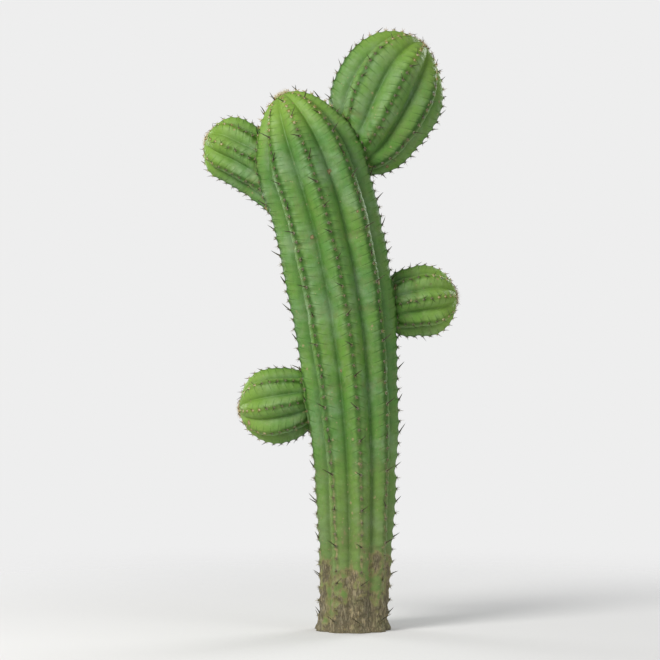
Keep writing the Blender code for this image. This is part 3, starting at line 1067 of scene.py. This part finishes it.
def wear_and_crease_shade_layers(look, green, edge, aged, crease):
    """Painted shade darkening the creases, crests scuffed to tan on old growth, and dull waists."""
    # Painted shade: the creases darkened with the crests' deep green
    green = look.mix(look.ramp(crease, to=(0.0, 0.55)), green, CREST_GREEN_AND_CREASE_SHADE)
    scuffed = look.times(look.ramp(edge, (0.0, 0.16), (1.0, 0.0)), aged)
    patchy = look.ramp(look.noise(31.0, 6, 0.7), (0.42, 0.62))
    green = look.mix(look.times(scuffed, patchy), green, SCAR_TAN)
    uneven = look.ramp(look.noise(19.0, 5, 0.7), (0.35, 0.65))
    waist = look.times(look.value("waist"), uneven)
    return look.mix(look.ramp(waist, (0.10, 0.9), (0.0, 0.55)), green, OLD_GREEN)


def bark_layers(look):
    """Bark of the old foot: tan and grey cork, and how clear of its darker fissures it is."""
    lines = look.minus(look.noise(52.0, 6, 0.65, stretch=(1, 1, 0.18), warp=0.15), 0.5)
    lines = look.ramp(look.calc("ABSOLUTE", lines), (0.0, 0.09))
    between = look.ramp(look.value("crack"), (0.25, 1.0), (1.0, 0.30))
    sound = look.times(between, lines)
    grain = look.noise(17.0, 9, 0.74, stretch=(1, 1, 0.45))
    bark = look.mix(look.ramp(grain, (0.34, 0.66)), CORK_GREY, CORK_TAN)
    greenish = look.ramp(look.noise(8.0, 5, 0.65), (0.50, 0.72), (0.0, 0.45))
    bark = look.mix(greenish, bark, OLD_GREEN)
    return look.mix(look.ramp(sound, to=(0.80, 0.0)), bark, CORK_BROWN), sound


def foot_layers(look, green):
    """Green skin that dulls, dries to tan and gives way to bark. Also how corky and sound it is."""
    bark, sound = bark_layers(look)
    ragged = look.noise(18.0, 9, 0.74, stretch=(1, 1, 0.55))
    frayed = look.noise(85.0, 6, 0.7, stretch=(1, 1, 0.35))
    cork = look.value("cork")
    torn = look.plus(cork, look.ramp(ragged, (0.25, 0.75), (-0.30, 0.30)))
    torn = look.plus(torn, look.ramp(frayed, (0.25, 0.75), (-0.13, 0.13)))
    green = look.layered(
        green,
        (cork, (0.05, 0.85), (0.0, 0.70), OLD_GREEN),
        (torn, (0.05, 0.44), (0.0, 0.80), OLD_GREEN),
        (torn, (0.30, 0.50), (0.0, 0.65), DRY_TAN),
    )
    corky = look.ramp(torn, (0.42, 0.74))
    return look.mix(corky, green, bark), corky, sound


def scar_layers(look, colour, aged):
    """Healed scars that dent the skin, and tan freckles, most of them low down."""
    rough_edge = look.ramp(look.noise(75.0, 5, 0.7), to=(-0.35, 0.35))
    torn = look.plus(look.value("scar"), rough_edge)
    scar = look.ramp(torn, (0.42, 0.55))
    healed = look.mix(look.ramp(torn, (0.5, 0.85)), SCAR_BROWN, SCAR_TAN)
    colour = look.mix(scar, colour, healed)
    ragged = look.ramp(look.noise(140.0, 4), to=(-0.08, 0.08))
    more = look.times(aged, 0.45)
    for scale in (17.0, 41.0):
        spots = look.cells(scale)
        chosen = look.ramp(look.plus(spots["Color"], more), (0.74, 0.78))
        away = look.plus(spots["Distance"], ragged)
        freckle = look.times(chosen, look.ramp(away, (0.10, 0.17), (0.7, 0.0)))
        colour = look.mix(freckle, colour, SCAR_TAN)
    return colour, scar


def seam_layers(look, colour, mottle, fine):
    """Brown where limbs meet, and a fine darker grain all over."""
    seam = look.ramp(look.value("joint"), (0.50, 0.98), (0.0, 0.55))
    seam = look.times(seam, look.ramp(mottle, (0.0, 0.6), (0.5, 1.0)))
    colour = look.mix(seam, colour, CORK_BROWN)
    return look.mix(look.ramp(fine, (0.3, 0.7), (0.0, 0.16)), colour, GRAIN_AND_FURROW_SHADE_GREEN)


def skin_bumps(look, fine, crease, pits):
    """Fine relief: pores, the skin's level lines, the creases and the bark's fissures."""
    lines = look.noise(70.0, 4, 0.6, stretch=(1, 1, 2.6), warp=0.4)
    pores = look.bump(fine, strength=0.35, distance=0.0012)
    lined = look.bump(lines, strength=0.40, distance=0.0022, under=pores)
    smooth = look.minus(1.0, crease)
    creased = look.bump(smooth, strength=0.5, distance=0.0035, under=lined)
    return look.bump(look.minus(1.0, pits), strength=0.7, distance=0.0060, under=creased)


def skin_material(name):
    """Waxy green skin: dark crests, paler flanks, fresh at the tip, dull and corky at the foot."""
    look = Look(name)
    across = look.value("across")
    aged = look.ramp(look.value("from_foot"), (0.15, 1.60), (1.0, 0.0))
    mottle = look.ramp(look.noise(14.0, 5, 0.62), (0.35, 0.68))
    fine = look.noise(95.0, 4, 0.6)
    edge = look.plus(across, look.ramp(look.noise(22.0), to=(-0.09, 0.09)))
    crease = crease_lines(look, across)
    green = green_layers(look, edge, aged, mottle)
    green = wear_and_crease_shade_layers(look, green, edge, aged, crease)
    colour, corky, sound = foot_layers(look, green)
    colour, scar = scar_layers(look, colour, aged)
    dull = look.times(look.calc("MAXIMUM", corky, scar), 0.26)
    waxy = look.ramp(look.noise(34.0, 4, 0.6), (0.3, 0.7), (0.50, 0.66))
    pits = look.times(look.minus(1.0, sound), corky)
    return look.finish(
        Base_Color=seam_layers(look, colour, mottle, fine),
        Roughness=look.plus(waxy, dull),
        Normal=skin_bumps(look, fine, crease, pits),
        Specular_IOR_Level=0.36,
        Coat_Weight=0.05,
        Coat_Roughness=0.45,
    )


def spine_material(name, tones):
    look = Look(name)
    grain = look.ramp(look.noise(46.0), (0.35, 0.65))
    roughness = look.ramp(grain, to=(0.42, 0.60))
    return look.finish(Base_Color=look.mix(grain, *tones), Roughness=roughness)


def wool_material(name, tones):
    look = Look(name)
    matted = look.ramp(look.noise(120.0, 4), (0.35, 0.65))
    return look.finish(
        Base_Color=look.mix(matted, *tones),
        Roughness=0.95,
        Sheen_Weight=0.35,
        Sheen_Roughness=0.5,
    )


def add_plant():
    """Every limb's skin, spines and wool."""
    stem = Stem()
    limbs = [stem, *[Arm(name, stem, sizes) for name, sizes in ARMS.items()]]
    skins = {limb.name: skin_material(f"{limb.name}_green_skin") for limb in limbs}
    looks = {tone: spine_material(f"{tone}_spine", pair) for tone, pair in SPINE_TONES.items()}
    looks |= {tone: wool_material(f"{tone}_wool", pair) for tone, pair in WOOL_TONES.items()}
    for limb in limbs:
        others = [other for other in limbs if other is not limb]
        touching = others if limb is stem else [stem]
        skin_piece(limb, touching, skins[limb.name])
        areoles = Areoles(limb, others)
        spine_pieces(limb, areoles, others, looks)
        wool_pieces(limb, areoles, looks)
        tip_pieces(limb, touching, looks)


def floor_material():
    """Pale floor that fades away before its rim, so that no edge shows."""
    look = Look("pale_floor")
    material = look.finish(Base_Color=FLOOR_TONE, Roughness=0.9)
    away = look.node("VectorMath", {0: look.place()}, operation="LENGTH")["Value"]
    fade = look.ramp(away, FLOOR_FADE)
    clear = look.node("BsdfTransparent", {})[0]
    blend = look.node("MixShader", {0: fade, 1: look.surface.outputs[0], 2: clear})[0]
    look.put(look.tree.nodes["Material Output"].inputs["Surface"], blend)
    return material


def add_floor():
    turn = TAU * np.arange(FLOOR_SIDES) / FLOOR_SIDES
    height = np.full(FLOOR_SIDES, -FLOOR_DROP)
    rim = np.stack((FLOOR_RADIUS * np.cos(turn), FLOOR_RADIUS * np.sin(turn), height), axis=1)
    mesh = bpy.data.meshes.new("floor")
    mesh.from_pydata(rim.tolist(), [], [list(range(FLOOR_SIDES))])
    mesh.materials.append(floor_material())
    add_object("floor", mesh)


def aim(thing, spot, target):
    way = Vector(target) - Vector(spot)
    thing.location = spot
    thing.rotation_euler = way.to_track_quat("-Z", "Y").to_euler()


def add_light(name, spot, size, power, colour):
    data = bpy.data.lights.new(name, "AREA")
    data.shape = "DISK"
    data.size = size
    data.energy = power
    data.color = colour
    aim(add_object(name, data), spot, LIT_POINT)


def add_world():
    """A pale backdrop that lights the plant less than it shows."""
    world = bpy.data.worlds.new("backdrop")
    world.use_nodes = True
    bpy.context.scene.world = world
    nodes, links = world.node_tree.nodes, world.node_tree.links
    seen = nodes["Background"]
    soft = nodes.new("ShaderNodeBackground")
    for background, strength in ((seen, 1.0), (soft, AMBIENT)):
        background.inputs["Color"].default_value = BACKDROP
        background.inputs["Strength"].default_value = strength
    pick = nodes.new("ShaderNodeMixShader")
    links.new(nodes.new("ShaderNodeLightPath").outputs["Is Camera Ray"], pick.inputs[0])
    links.new(soft.outputs[0], pick.inputs[1])
    links.new(seen.outputs[0], pick.inputs[2])
    links.new(pick.outputs[0], nodes["World Output"].inputs["Surface"])


def add_camera():
    """A camera straight in front, far off, that frames the plant as the drawing does."""
    centre_x = (IMAGE_SIZE / 2 - FOOT_PIXEL[0]) * METRES_PER_PIXEL
    centre_z = (FOOT_PIXEL[1] - IMAGE_SIZE / 2) * METRES_PER_PIXEL
    distance = IMAGE_SIZE * METRES_PER_PIXEL * LENS_MM / SENSOR_MM
    data = bpy.data.cameras.new("camera")
    data.lens = LENS_MM
    data.sensor_width = SENSOR_MM
    data.sensor_fit = "HORIZONTAL"
    data.clip_end = FARTHEST_SEEN
    camera = add_object("camera", data)
    aim(camera, (centre_x, -distance, centre_z), (centre_x, 0.0, centre_z))
    bpy.context.scene.camera = camera


add_plant()
add_floor()
for light_name, light_values in LIGHTS.items():
    add_light(light_name, *light_values)
add_world()
add_camera()
bpy.context.scene.view_settings.view_transform = "Standard"
